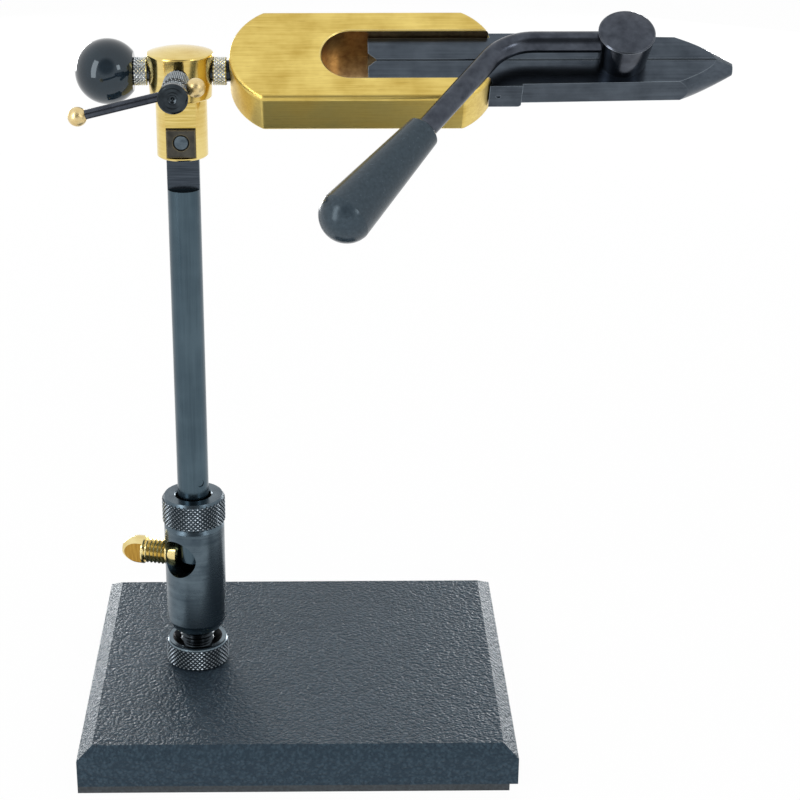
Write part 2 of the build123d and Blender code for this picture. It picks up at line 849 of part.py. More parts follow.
with BuildPart() as jaw_body:
    with BuildSketch(head.offset(-body_top)) as slab:
        with BuildLine():
            Line((body_left_edge, half_width), (body_right_edge, half_width))
            ThreePointArc(
                (body_right_edge, half_width), (body_right_x, 0), (body_right_edge, -half_width)
            )
            Line((body_right_edge, -half_width), (body_left_edge, -half_width))
            ThreePointArc(
                (body_left_edge, -half_width), (body_left_x, 0), (body_left_edge, half_width)
            )
        make_face()
        fillet(slab.vertices(), body_corner)
    extrude(amount=body_thickness)
    outline_edges = jaw_body.edges().group_by(Axis(head.origin, head.z_dir))
    fillet(outline_edges[0] + outline_edges[-1], body_edge)
    with BuildSketch(head.offset(pocket_floor)):
        pocket_mouth(0)
    extrude(amount=body_top - pocket_floor, mode=Mode.SUBTRACT)
    with BuildSketch(head.offset(body_top - pocket_edge)):
        pocket_mouth(0)
    with BuildSketch(head.offset(body_top)):
        pocket_mouth(pocket_edge)
    loft(mode=Mode.SUBTRACT)
    drilled(
        Plane((body_left_x - overrun, 0, rotary_height), z_dir=(1, 0, 0)),
        shaft_radius + fit_gap,
        shaft_grip_depth + overrun,
    )
    for side in (1, -1):
        turned(
            head_axis(pivot_x, side * pivot_offset),
            [
                (0, -body_top - overrun),
                (pivot_head_room, -body_top - overrun),
                (pivot_head_room, -body_top + pivot_head_sink + pivot_head_height + face_gap),
                (pivot_room, -body_top + pivot_head_sink + pivot_head_height + face_gap),
                (pivot_room, pocket_floor + overrun),
                (0, pocket_floor + overrun),
            ],
            Mode.SUBTRACT,
        )
        spring_seat = head.from_local_coords(Vector(spring_x, 0, spring_height))
        drilled(
            Plane(spring_seat, z_dir=head.y_dir * side),
            spring_radius + running_gap,
            spring_end,
        )
finish(jaw_body, "jaw_body")


def jaw_outline(side):
    """One jaw seen from the head's face: tail, shoulder, tapered bar and the notch for the cam."""
    inner = jaw_split / 2
    return [
        (jaw_tail_x, side * (inner + jaw_notch_depth)),
        (jaw_tail_x + jaw_notch_run, side * inner),
        (hub_x - cam_wide_half - cam_room, side * inner),
        (hub_x - cam_wide_half - cam_room, side * (cam_narrow_half + running_gap)),
        (hub_x + cam_wide_half + cam_room, side * (cam_narrow_half + running_gap)),
        (hub_x + cam_wide_half + cam_room, side * inner),
        (jaw_tip_x, side * inner),
        (jaw_tip_x, side * jaw_front_half),
        (jaw_tip_x - nose_start_back, side * jaw_front_half),
        (lug_front_x, side * jaw_shoulder_half),
        (lug_rear_x, side * jaw_shoulder_half),
        (lug_rear_x, side * jaw_tail_half),
        (jaw_tail_x, side * jaw_tail_half),
    ]


def jaw(side):
    """One jaw: the bar, its shoulder lug, the bullet nose and the pivot's hole."""
    lug_bottom = jaw_bottom - lug_down
    lug_inner = pocket_width / 2 - lug_rear_clear
    lug_outer = jaw_shoulder_half + lug_out
    lug_clear_radius = body_end_radius + lug_rear_clear
    lug_back_x = corner_x + sqrt(lug_clear_radius**2 - lug_outer**2)
    lug_seat = head.from_local_coords(Vector(0, side * lug_inner, 0))
    with BuildPart() as piece:
        with BuildSketch(Plane(lug_seat, x_dir=(1, 0, 0), z_dir=head.y_dir * side)) as lug_face:
            with Locations(((lug_back_x + lug_front_x) / 2, -side * (jaw_top + lug_bottom) / 2)):
                Rectangle(lug_front_x - lug_back_x, jaw_top - lug_bottom)
            front = lug_face.vertices().group_by(Axis.X)[-1].sort_by(Axis.Y)
            fillet(front[-1] if side > 0 else front[0], lug_round)
        extrude(amount=lug_outer - lug_inner)
        with BuildSketch(head.offset(lug_bottom)):
            with Locations((corner_x, 0)):
                Circle(lug_clear_radius)
        extrude(amount=jaw_top - lug_bottom, mode=Mode.SUBTRACT)
        dimple_seat = head.from_local_coords(
            Vector(lug_front_x - lug_dimple_back, side * (lug_outer - lug_dimple_depth), 0)
        )
        drilled(Plane(dimple_seat, z_dir=head.y_dir * side), lug_dimple_radius, overrun)
        with BuildSketch(head.offset(jaw_bottom)):
            with BuildLine():
                Polyline(*jaw_outline(side), close=True)
            make_face()
        extrude(amount=jaw_top - jaw_bottom)
        split_end = head.from_local_coords(Vector(jaw_tail_x - overrun, 0, jaw_top))
        groove_side = sqrt(2) * (jaw_split / 2 + jaw_break)
        with BuildSketch(Plane(split_end, x_dir=head.y_dir, z_dir=(1, 0, 0))):
            Rectangle(groove_side, groove_side, rotation=45)
        extrude(amount=jaw_length + 2 * overrun, mode=Mode.SUBTRACT)
        with BuildSketch(rotary_axis) as nose:
            with BuildLine():
                Polyline(
                    (nose_end_radius, jaw_tip_x),
                    (0, jaw_tip_x),
                    (0, jaw_tail_x - overrun),
                    (body_width, jaw_tail_x - overrun),
                    (body_width, jaw_tip_x - nose_start_back),
                    (nose_start_radius, jaw_tip_x - nose_start_back),
                )
                ThreePointArc(
                    (nose_start_radius, jaw_tip_x - nose_start_back),
                    (nose_mid_radius, jaw_tip_x - nose_mid_back),
                    (nose_end_radius, jaw_tip_x),
                )
            make_face()
        revolve(nose.sketch, axis=Axis(rotary_axis.origin, rotary_axis.y_dir), mode=Mode.INTERSECT)
        mouth = head.from_local_coords(Vector(pivot_x, side * pivot_offset, jaw_bottom))
        drilled(Plane(mouth, z_dir=head.z_dir), pivot_radius + fit_gap, pivot_depth)
    return piece


finish(jaw(-1), "jaw_near")
finish(jaw(1), "jaw_far")

# Pivot screws from below, and the springs that close the jaws
for side_name, side in (("near", -1), ("far", 1)):
    pivot_head_bottom = -body_top + pivot_head_sink
    with BuildPart() as jaw_pivot:
        turned(
            head_axis(pivot_x, side * pivot_offset),
            [
                (0, pivot_head_bottom),
                (pivot_head_radius, pivot_head_bottom),
                (pivot_head_radius, pivot_head_bottom + pivot_head_height),
                (pivot_radius, pivot_head_bottom + pivot_head_height),
                (pivot_radius, jaw_bottom + pivot_depth),
                (0, jaw_bottom + pivot_depth),
            ],
        )
        slot_mouth = head.from_local_coords(
            Vector(pivot_x, side * pivot_offset, pivot_head_bottom)
        )
        slotted(
            Plane(slot_mouth, x_dir=(1, 0, 0), z_dir=head.z_dir),
            2 * pivot_head_radius + overrun,
            pivot_slot_width,
            pivot_slot_depth,
        )
    finish(jaw_pivot, f"jaw_pivot_{side_name}")

    spring_from = head.from_local_coords(Vector(spring_x, side * jaw_tail_half, spring_height))
    with BuildPart() as jaw_spring:
        with BuildSketch(Plane(spring_from, z_dir=head.y_dir * side)):
            Circle(spring_radius)
            Circle(spring_radius - spring_wall, mode=Mode.SUBTRACT)
        extrude(amount=spring_end - jaw_tail_half)
    finish(jaw_spring, f"jaw_spring_{side_name}")

# Cam hub: a tapered head with a low dome, over an oval cam that stands between the jaws
with BuildPart() as cam_hub:
    domed(
        head_axis(hub_x, 0),
        [
            (0, hub_foot),
            (hub_foot_radius, hub_foot),
            (hub_rim_radius, hub_rim - hub_edge),
            (hub_rim_radius - hub_edge, hub_rim),
        ],
        hub_dome_rise,
    )
    with BuildSketch(head.offset(jaw_bottom)):
        with Locations((hub_x, 0)):
            Ellipse(cam_wide_half, cam_narrow_half)
    extrude(amount=hub_foot - jaw_bottom)
    drilled(
        Plane(
            head.from_local_coords(Vector(hub_x - hub_rim_radius + rod_bore_depth, 0, rod_height)),
            z_dir=(-1, 0, 0),
        ),
        rod_radius + fit_gap,
        rod_bore_depth + overrun,
    )
    drilled(
        Plane(head.from_local_coords(Vector(hub_x, 0, jaw_bottom)), z_dir=head.z_dir),
        cam_screw_radius + fit_gap,
        cam_screw_length,
    )
finish(cam_hub, "cam_hub")

# Lever rod: a bent round bar from the hub to the grip
lever_angle = radians(lever_turn)
lever_direction = (-cos(lever_angle), -sin(lever_angle))
rod_reach = grip_start + grip_bore_depth
rod_start_x = hub_x - hub_rim_radius + rod_bore_depth
with BuildPart() as lever_rod:
    with BuildLine(head.offset(rod_height)) as rod_path:
        FilletPolyline(
            (rod_start_x, 0),
            (bend_x, 0),
            (bend_x + lever_direction[0] * rod_reach, lever_direction[1] * rod_reach),
            radius=bend_radius,
        )
    with BuildSketch(Plane(rod_path.line @ 0, z_dir=rod_path.line % 0)):
        Circle(rod_radius)
    sweep(path=rod_path.line)
finish(lever_rod, "lever_rod")

# Grip: a cone with a rounded collar end and a domed butt, pushed over the rod
with BuildPart() as lever_grip:
    grip_origin = head.from_local_coords(Vector(bend_x, 0, rod_height))
    grip_tip = head.from_local_coords(
        Vector(bend_x + lever_direction[0], lever_direction[1], rod_height)
    )
    grip_axis = lathe_plane(grip_origin, grip_tip - grip_origin, head_normal)
    grip_end = grip_start + grip_length
    domed(
        grip_axis,
        [
            (0, grip_start),
            (grip_start_radius - grip_start_edge, grip_start),
            (grip_start_radius, grip_start + grip_start_edge),
            (grip_end_radius, grip_end),
        ],
        grip_dome_rise,
    )
    drilled(
        Plane(grip_origin + grip_axis.y_dir * grip_start, z_dir=grip_axis.y_dir),
        rod_radius + fit_gap,
        grip_bore_depth,
    )
finish(lever_grip, "lever_grip")

# Washer and screw that keep the hub on the jaws
with BuildPart() as cam_washer:
    turned(
        head_axis(hub_x, 0),
        [
            (cam_screw_radius + fit_gap, washer_bottom),
            (washer_radius, washer_bottom),
            (washer_radius, washer_top),
            (cam_screw_radius + fit_gap, washer_top),
        ],
    )
finish(cam_washer, "cam_washer")

with BuildPart() as cam_screw:
    cam_screw_bottom = washer_bottom - cam_screw_head_height
    turned(
        head_axis(hub_x, 0),
        [
            (0, cam_screw_bottom),
            (cam_screw_head_radius, cam_screw_bottom),
            (cam_screw_head_radius, washer_bottom),
            (cam_screw_radius, washer_bottom),
            (cam_screw_radius, jaw_bottom + cam_screw_length),
            (0, jaw_bottom + cam_screw_length),
        ],
    )
    slotted(
        Plane(
            head.from_local_coords(Vector(hub_x, 0, cam_screw_bottom)),
            x_dir=(1, 0, 0),
            z_dir=head.z_dir,
        ),
        2 * cam_screw_head_radius + overrun,
        cam_screw_slot_width,
        cam_screw_slot_depth,
    )
finish(cam_screw, "cam_screw")
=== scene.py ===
from math import pi, radians

import bpy
from mathutils import Matrix, Vector


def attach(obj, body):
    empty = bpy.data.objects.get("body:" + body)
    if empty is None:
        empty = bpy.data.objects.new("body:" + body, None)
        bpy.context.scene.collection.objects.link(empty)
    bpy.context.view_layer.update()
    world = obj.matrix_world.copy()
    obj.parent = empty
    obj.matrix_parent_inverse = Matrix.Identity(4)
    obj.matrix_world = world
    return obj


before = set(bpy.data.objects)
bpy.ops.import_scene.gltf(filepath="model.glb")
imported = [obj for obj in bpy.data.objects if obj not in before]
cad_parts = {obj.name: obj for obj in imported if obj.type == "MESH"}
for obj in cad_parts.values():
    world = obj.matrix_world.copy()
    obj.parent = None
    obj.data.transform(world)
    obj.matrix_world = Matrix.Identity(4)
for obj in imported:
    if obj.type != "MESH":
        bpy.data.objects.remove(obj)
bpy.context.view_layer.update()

# A fly tying vise: the CAD nodes carry every main form, and the knurls and the tension screw's
# thread are cut here. Sizes in millimetres, as on the drawing; Blender works in metres.
MM = 0.001
UP, FRONT, RIGHT = (0, 0, 1), (0, -1, 0), (1, 0, 0)
COLUMN_X = -32.0
ROTARY_HEIGHT = 202.2
HEAD_ROLL = 36.3  # degrees that the jaws lean towards the front, about the rotary axis
TOMMY_TILT = 13.7  # degrees that the bar rises towards the right

# The brass slab's pocket, where its shade is painted, measured from the rotary axis
BODY_TOP = 7.15
POCKET_HALF = 9.0
POCKET_EDGE = 0.3  # rim that keeps the top's colour, outside the pocket's painted shade
POCKET_LEFT = 7.0
POCKET_RIGHT = 60.0
POCKET_FLOOR = -4.2

# The lock nut's mouth, and the thumb screw's head, measured from the column's axis
NUT_MOUTH = 7.75
SCREW_HEIGHT = 50.05
SCREW_TURN = 14.0  # degrees that the screw's head is turned towards the back
SCREW_HEAD = 15.8
SCREW_FLAT = 3.0
FLAT_SKIN = 0.05  # depth either side of a flat that takes its painted darker colour

# Knurls: the distance from tooth to tooth, and the height of a tooth
NUT_KNURL = {"pitch": 1.42, "tooth": 0.38}
SCREW_KNURL = {"pitch": 1.0, "tooth": 0.26}
COLLAR_KNURL = {"pitch": 1.1, "tooth": 0.3}

# Where the bands and the thread start: up the column for the nuts, and in front of it for the tension screw
LOCK_NUT_BAND = 14.25
COLLAR_NUT_BAND = 62.55
TENSION_BAND = -15.6
TENSION_THREAD = -9.6
TOMMY_HOLE = (10.4, radians(TOMMY_TILT), 1.85)  # how far along its band, its angle and its radius

# Sockets of a Mix node that mixes colours
FACTOR, FIRST, SECOND, MIXED = 0, 6, 7, 2


def linear(hex_colour):
    """An sRGB hex colour as linear RGBA."""
    parts = [int(hex_colour[i : i + 2], 16) / 255 for i in (1, 3, 5)]
    return (*[p / 12.92 if p <= 0.04045 else ((p + 0.055) / 1.055) ** 2.4 for p in parts], 1.0)


def per(size_mm):
    """The texture scale at which one feature is that many millimetres."""
    return 1.0 / (size_mm * MM)


def add(tree, kind, inputs=None, stops=(), **settings):
    """Adds one node with its settings. An input is set to a value, or linked to a socket or to a node's
    first output. Stops are a ramp's places, from 0 to 1, with their hex colours."""
    node = tree.nodes.new(kind)
    for name, value in settings.items():
        setattr(node, name, value)
    for name, value in (inputs or {}).items():
        if isinstance(value, bpy.types.Node):
            value = value.outputs[0]
        if isinstance(value, bpy.types.NodeSocket):
            tree.links.new(value, node.inputs[name])
        else:
            node.inputs[name].default_value = value
    for number, (place, colour) in enumerate(stops):
        elements = node.color_ramp.elements
        element = elements[number] if number < len(elements) else elements.new(place)
        element.position = place
        element.color = linear(colour)
    return node


def start_material(name):
    """A new material, its empty tree and the piece's own coordinates."""
    material = bpy.data.materials.new(name)
    material.use_nodes = True
    tree = material.node_tree
    tree.nodes.clear()
    return material, tree, add(tree, "ShaderNodeTexCoord").outputs["Object"]


def end_material(material, inputs):
    """Ends a material in a Principled shader with these inputs."""
    shader = add(material.node_tree, "ShaderNodeBsdfPrincipled", inputs)
    add(material.node_tree, "ShaderNodeOutputMaterial", {"Surface": shader})
    return material


def opened(material):
    """A finished material's tree, and the piece's own coordinates."""
    tree = material.node_tree
    return tree, tree.nodes["Texture Coordinate"].outputs["Object"]


def powder_coat():
    """Leather-grain powder coat on steel: a cool near-black, pebbled, with small glints on the pebbles."""
    material, tree, place = start_material("leather grain powder coat")
    waver_mm = 0.7
    waver = add(tree, "ShaderNodeTexNoise", {"Vector": place, "Scale": per(1.3), "Detail": 2.0})
    bent = add(
        tree,
        "ShaderNodeVectorMath",
        {0: waver.outputs["Color"], 1: [waver_mm * MM] * 3, 2: place},
        operation="MULTIPLY_ADD",
    )
    pebble = add(
        tree,
        "ShaderNodeTexVoronoi",
        {"Vector": bent, "Scale": per(1.15), "Smoothness": 0.5},
        feature="SMOOTH_F1",
    )
    grain = add(
        tree, "ShaderNodeTexNoise", {"Vector": place, "Scale": per(0.7), "Detail": 2.0, "Roughness": 0.5}
    )
    height = add(tree, "ShaderNodeMath", {0: pebble, 1: -0.8, 2: grain}, operation="MULTIPLY_ADD")
    colour = add(
        tree,
        "ShaderNodeValToRGB",
        {"Fac": height},
        stops=[(0.02, "#262F38"), (0.2, "#2D3841"), (0.42, "#34404A")],
    )
    rough = add(
        tree,
        "ShaderNodeMapRange",
        {"Value": grain, "From Min": 0.3, "From Max": 0.7, "To Min": 0.26, "To Max": 0.42},
    )
    bump = add(tree, "ShaderNodeBump", {"Height": height, "Strength": 1.0, "Distance": 0.34 * MM})
    return end_material(
        material,
        {
            "Base Color": colour,
            "Roughness": rough,
            "Normal": bump,
            "Specular IOR Level": 0.25,
            "Specular Tint": linear("#A4D6F0"),
        },
    )


def pad_rubber():
    """Cut sheet rubber: dead black, with the grain of the sheet."""
    material, tree, place = start_material("sheet rubber")
    grain = add(tree, "ShaderNodeTexNoise", {"Vector": place, "Scale": per(0.7), "Detail": 3.0})
    colour = add(tree, "ShaderNodeValToRGB", {"Fac": grain}, stops=[(0.3, "#2A2E31"), (0.7, "#3C4145")])
    bump = add(tree, "ShaderNodeBump", {"Height": grain, "Strength": 0.3, "Distance": 0.1 * MM})
    return end_material(
        material, {"Base Color": colour, "Roughness": 0.8, "Normal": bump, "Specular IOR Level": 0.4}
    )


def metal(name, dark, light, rough, streak_mm, cloud_mm, bump, marks=None, painted_light=None):
    """A worked metal: streaks left by the tool, of the given size along X, Y and Z, over slow clouding.
    Real tool lines are finer than a picture shows, so the streaks are drawn as wide as they need to show.
    Marks are scuffs: their colour, their size along X, Y and Z, and how much of the surface they take.
    Painted light is the colour of a painted highlight along the edges, and how wide, in mm."""
    material, tree, place = start_material(name)
    along = add(tree, "ShaderNodeMapping", {"Vector": place, "Scale": [per(size) for size in streak_mm]})
    streak = add(
        tree, "ShaderNodeTexNoise", {"Vector": along, "Scale": 1.0, "Detail": 3.0, "Roughness": 0.6}
    )
    cloud = add(
        tree, "ShaderNodeTexNoise", {"Vector": place, "Scale": per(cloud_mm), "Detail": 3.0, "Roughness": 0.6}
    )
    tone = add(tree, "ShaderNodeMath", {0: streak, 1: 0.6, 2: cloud}, operation="MULTIPLY_ADD")
    colour = add(tree, "ShaderNodeValToRGB", {"Fac": tone}, stops=[(0.5, dark), (1.0, light)])
    layers = []
    if marks:
        scuff_colour, scuff_mm, share = marks
        spread = add(tree, "ShaderNodeMapping", {"Vector": place, "Scale": [per(size) for size in scuff_mm]})
        scuff = add(
            tree, "ShaderNodeTexNoise", {"Vector": spread, "Scale": 1.0, "Detail": 4.0, "Roughness": 0.65}
        )
        amount = add(
            tree,
            "ShaderNodeMapRange",
            {"Value": scuff, "From Min": 0.7 - share, "From Max": 0.86 - share, "To Max": 0.85},
        )
        layers.append((amount, scuff_colour))
    # A painted highlight along the edges: lighter where the Bevel node's rounded normal turns away from the
    # face's
    if painted_light:
        highlight_colour, width_mm = painted_light
        rounded = add(tree, "ShaderNodeBevel", {"Radius": width_mm * MM}, samples=6)
        face = add(tree, "ShaderNodeNewGeometry")
        agree = add(
            tree, "ShaderNodeVectorMath", {0: rounded, 1: face.outputs["Normal"]}, operation="DOT_PRODUCT"
        )
        edge = add(
            tree,
            "ShaderNodeMapRange",
            {"Value": agree.outputs["Value"], "From Min": 0.99, "From Max": 0.9, "To Max": 0.8},
        )
        layers.append((edge, highlight_colour))
    for cover, hex_colour in layers:
        covered = add(
            tree,
            "ShaderNodeMix",
            {FACTOR: cover, FIRST: colour, SECOND: linear(hex_colour)},
            data_type="RGBA",
        )
        colour = covered.outputs[MIXED]
    span = add(
        tree,
        "ShaderNodeMapRange",
        {"Value": tone, "From Min": 0.5, "From Max": 1.1, "To Min": rough[1], "To Max": rough[0]},
    )
    dent = add(tree, "ShaderNodeBump", {"Height": streak, "Strength": bump, "Distance": 0.05 * MM})
    return end_material(
        material, {"Base Color": colour, "Metallic": 1.0, "Roughness": span, "Normal": dent}
    )


def knurled(name, root, flank, tip):
    """Rolled diamond knurl: painted shade darkens its roots, and painted glints brighten the tips of its
    teeth, where they are also worn.
    """
    material, tree, place = start_material(name)
    crest = add(tree, "ShaderNodeAttribute", attribute_name="crest")
    speck = add(tree, "ShaderNodeTexNoise", {"Vector": place, "Scale": per(1.1), "Detail": 2.0})
    # Painted shade low on each tooth and painted glints on its tip, from the height of each point on the
    # tooth
    painted_light = add(
        tree, "ShaderNodeMath", {0: speck, 1: 0.5, 2: crest.outputs["Fac"]}, operation="MULTIPLY_ADD"
    )
    colour = add(
        tree, "ShaderNodeValToRGB", {"Fac": painted_light}, stops=[(0.15, root), (0.75, flank), (1.0, tip)]
    )
    return end_material(material, {"Base Color": colour, "Metallic": 1.0, "Roughness": 0.3})


def moulded(name, dark, light, rough, grain_mm, bump, gloss=0.0):
    """Moulded plastic: even in colour, with the grain of its mould. Gloss is how much of a clear, smooth
    skin it has."""
    material, tree, place = start_material(name)
    grain = add(
        tree, "ShaderNodeTexNoise", {"Vector": place, "Scale": per(grain_mm), "Detail": 3.0, "Roughness": 0.6}
    )
    colour = add(tree, "ShaderNodeValToRGB", {"Fac": grain}, stops=[(0.3, dark), (0.7, light)])
    span = add(
        tree,
        "ShaderNodeMapRange",
        {"Value": grain, "From Min": 0.3, "From Max": 0.7, "To Min": rough[0], "To Max": rough[1]},
    )
    dent = add(tree, "ShaderNodeBump", {"Height": grain, "Strength": bump, "Distance": 0.05 * MM})
    return end_material(
        material,
        {
            "Base Color": colour,
            "Roughness": span,
            "Normal": dent,
            "Specular Tint": linear("#CFE4F0"),
            "Coat Weight": gloss,
            "Coat Roughness": 0.04,
        },
    )


def refinish(material, inside, dark, light, grain_mm):
    """Gives part of a metal other colours: where inside is 1, these colours, in their own grain. The flats
    get a milled finish this way, and the pocket, the nut's mouth and the thumb screw's flats get painted
    shade.
    """
    tree, place = opened(material)
    along = add(tree, "ShaderNodeMapping", {"Vector": place, "Scale": [per(size) for size in grain_mm]})
    grain = add(tree, "ShaderNodeTexNoise", {"Vector": along, "Scale": 1.0, "Detail": 3.0})
    second = add(tree, "ShaderNodeValToRGB", {"Fac": grain}, stops=[(0.3, dark), (0.7, light)])
    shader = tree.nodes["Principled BSDF"]
    first = shader.inputs["Base Color"].links[0].from_socket
    both = add(tree, "ShaderNodeMix", {FACTOR: inside, FIRST: first, SECOND: second}, data_type="RGBA")
    tree.links.new(both.outputs[MIXED], shader.inputs["Base Color"])
    return material


def between(tree, value, low_mm, high_mm):
    """1 where a coordinate lies between two sizes, and 0 elsewhere."""
    above = add(tree, "ShaderNodeMath", {0: value, 1: low_mm * MM}, operation="GREATER_THAN")
    below = add(tree, "ShaderNodeMath", {0: value, 1: high_mm * MM}, operation="LESS_THAN")
    return add(tree, "ShaderNodeMath", {0: above, 1: below}, operation="MULTIPLY")


def pocket_shade_painted(material):
    """The slab's pocket: inside it the brass is painted browner and darker, as painted shade in the recess.
    """
    tree, place = opened(material)
    lowered = add(tree, "ShaderNodeMapping", {"Vector": place, "Location": (0.0, 0.0, -ROTARY_HEIGHT * MM)})
    rolled = add(
        tree,
        "ShaderNodeVectorRotate",
        {"Vector": lowered, "Angle": radians(-HEAD_ROLL)},
        rotation_type="X_AXIS",
    )
    at = add(tree, "ShaderNodeSeparateXYZ", {"Vector": rolled})
    # Painted shade: the pocket's walls and floor, inside the rim
    wide = between(tree, at.outputs["Y"], -POCKET_HALF, POCKET_HALF)
    deep = between(tree, at.outputs["Z"], POCKET_FLOOR, BODY_TOP - POCKET_EDGE)
    long = between(tree, at.outputs["X"], POCKET_LEFT, POCKET_RIGHT)
    section = add(tree, "ShaderNodeMath", {0: wide, 1: deep}, operation="MULTIPLY")
    inside = add(tree, "ShaderNodeMath", {0: section, 1: long}, operation="MULTIPLY")
    return refinish(material, inside, "#AE8F6A", "#D3B788", grain_mm=(1.6, 1.6, 1.6))


def mouth_shade_painted(material):
    """The nut's threaded mouth is painted near-black, as painted shade inside it, where the outside is rubbed
    to a sheen.
    """
    tree, place = opened(material)
    axis = add(tree, "ShaderNodeMapping", {"Vector": place, "Location": (-COLUMN_X * MM, 0.0, 0.0)})
    level = add(tree, "ShaderNodeVectorMath", {0: axis, 1: (1.0, 1.0, 0.0)}, operation="MULTIPLY")
    out = add(tree, "ShaderNodeVectorMath", {0: level}, operation="LENGTH")
    # Painted shade: everything inside the mouth's radius
    inside = add(
        tree, "ShaderNodeMath", {0: out.outputs["Value"], 1: NUT_MOUTH * MM}, operation="LESS_THAN"
    )
    return refinish(material, inside, "#0A0C0E", "#16191C", grain_mm=(1.5, 1.5, 1.5))


def flatted(material, front_mm, low_mm, high_mm, dark, light):
    """A flat milled on the front of a turned piece: duller, with the cutter's lines across it."""
    tree, place = opened(material)
    at = add(tree, "ShaderNodeSeparateXYZ", {"Vector": place})
    front = add(tree, "ShaderNodeMath", {0: at.outputs["Y"], 1: front_mm * MM}, operation="LESS_THAN")
    tall = between(tree, at.outputs["Z"], low_mm, high_mm)
    inside = add(tree, "ShaderNodeMath", {0: front, 1: tall}, operation="MULTIPLY")
    return refinish(material, inside, dark, light, grain_mm=(9, 9, 0.4))


def thumb_flat_shade(material):
    """The thumb screw: the two flats of its head are painted a darker brown, a painted dim reflection, with
    the cutter's lines across them.
    """
    tree, place = opened(material)
    centred = add(
        tree,
        "ShaderNodeMapping",
        {"Vector": place, "Location": (-COLUMN_X * MM, 0.0, -SCREW_HEIGHT * MM)},
    )
    turned = add(
        tree,
        "ShaderNodeVectorRotate",
        {"Vector": centred, "Angle": radians(180 + SCREW_TURN)},
        rotation_type="Z_AXIS",
    )
    at = add(tree, "ShaderNodeSeparateXYZ", {"Vector": turned})
    aside = add(tree, "ShaderNodeMath", {0: at.outputs["Y"]}, operation="ABSOLUTE")
    head = add(tree, "ShaderNodeMath", {0: at.outputs["X"], 1: SCREW_HEAD * MM}, operation="GREATER_THAN")
    flat = between(tree, aside, SCREW_FLAT - FLAT_SKIN, SCREW_FLAT + FLAT_SKIN)
    inside = add(tree, "ShaderNodeMath", {0: head, 1: flat}, operation="MULTIPLY")
    return refinish(material, inside, "#9A7230", "#C09846", grain_mm=(0.6, 6.0, 6.0))


def faced(material, ring_mm):
    """Rings left on the tension screw's end by the lathe."""
    tree, place = opened(material)
    centred = add(
        tree,
        "ShaderNodeMapping",
        {"Vector": place, "Location": (-COLUMN_X * MM, 0.0, -ROTARY_HEIGHT * MM)},
    )
    rings = add(
        tree,
        "ShaderNodeTexWave",
        {"Vector": centred, "Scale": pi * per(ring_mm) / 10, "Distortion": 0.0},
        wave_type="RINGS",
        rings_direction="Y",
    )
    dent = add(
        tree, "ShaderNodeBump", {"Height": rings.outputs["Fac"], "Strength": 0.6, "Distance": 0.12 * MM}
    )
    tree.links.new(dent.outputs["Normal"], tree.nodes["Principled BSDF"].inputs["Normal"])
    return material


# Blued steel, turned and polished along the rod: a cool dark sheen with faint streaks, and a duller flat
stem_blued = flatted(
    metal(
        "blued steel rod", "#394852", "#51626C", rough=(0.2, 0.3), streak_mm=(0.8, 0.8, 30), cloud_mm=20,
        bump=0.1,
    ),
    front_mm=-1.2, low_mm=168.2, high_mm=190.0, dark="#353C44", light="#4B535C",
)
# Blued steel, turned: faint rings round the axis, a little cloudy
blued_turned = metal(
    "blued turned steel", "#414E58", "#5F6D76", rough=(0.2, 0.34), streak_mm=(14, 14, 0.9), cloud_mm=7,
    bump=0.05,
)
# Blued steel of the lock nut, rubbed by fingers to a paler sheen than the barrel's, with painted shade in its
# mouth
nut_blued = mouth_shade_painted(
    metal(
        "rubbed blued steel", "#515E67", "#78868E", rough=(0.18, 0.3), streak_mm=(14, 14, 0.7), cloud_mm=9,
        bump=0.06,
    )
)
# Blued pin, ground across its end
pin_blued = metal(
    "blued steel pin", "#46525B", "#6A7780", rough=(0.3, 0.42), streak_mm=(2.5, 0.5, 0.5), cloud_mm=3,
    bump=0.1,
)
# Black oxide on ground jaw steel: satin, with the grinder's lines along the jaw and a painted highlight along
# its edges
jaw_black = metal(
    "black oxide steel", "#383F47", "#525A63", rough=(0.17, 0.28), streak_mm=(24, 0.7, 0.7), cloud_mm=8,
    bump=0.08, painted_light=("#8C969E", 0.35),
)
# Black oxide on the hub, the lever's rod and the tommy bar, rubbed to a soft shine, with a painted highlight
# along the edges
hub_black = metal(
    "rubbed black steel", "#343840", "#50555E", rough=(0.16, 0.28), streak_mm=(3, 3, 3), cloud_mm=4,
    bump=0.08, painted_light=("#9DA3A8", 0.3),
)
# Black screw and shaft: nearly black, with a clear gloss; the base stud takes it too, as painted shade where
# it stands in the nut's mouth
screw_black = faced(
    metal(
        "polished black steel", "#22262A", "#3E454A", rough=(0.14, 0.24), streak_mm=(3, 5, 3), cloud_mm=5,
        bump=0.05,
    ),
    ring_mm=1.1,
)
# Thin black oxide of the key block, rubbed brown on its faces, with a painted highlight along its edges
block_black = metal(
    "rubbed black oxide steel", "#3B3A36", "#57554E", rough=(0.4, 0.55), streak_mm=(3, 3, 3), cloud_mm=4,
    bump=0.2, painted_light=("#A08F66", 0.35),
)
# Brushed brass slab: long fine lines along the body, with short brown scratches among them, painted shade in
# its pocket and a painted highlight along its edges
brass_slab = pocket_shade_painted(
    metal(
        "brushed brass", "#C4A650", "#EBD27A", rough=(0.28, 0.42), streak_mm=(14, 0.5, 0.5), cloud_mm=12,
        bump=0.2, marks=("#8E6D2E", (7, 0.3, 0.3), 0.07), painted_light=("#F6EAB4", 0.4),
    )
)
# Polished turned brass of the thumb screw: pale, warm and mirror-like, with the faintest turning rings, and a
# painted dim reflection on its head's flats
brass_screw = thumb_flat_shade(
    metal(
        "polished brass", "#D6BC74", "#EFDFA4", rough=(0.12, 0.22), streak_mm=(15, 15, 0.8), cloud_mm=12,
        bump=0.03,
    )
)
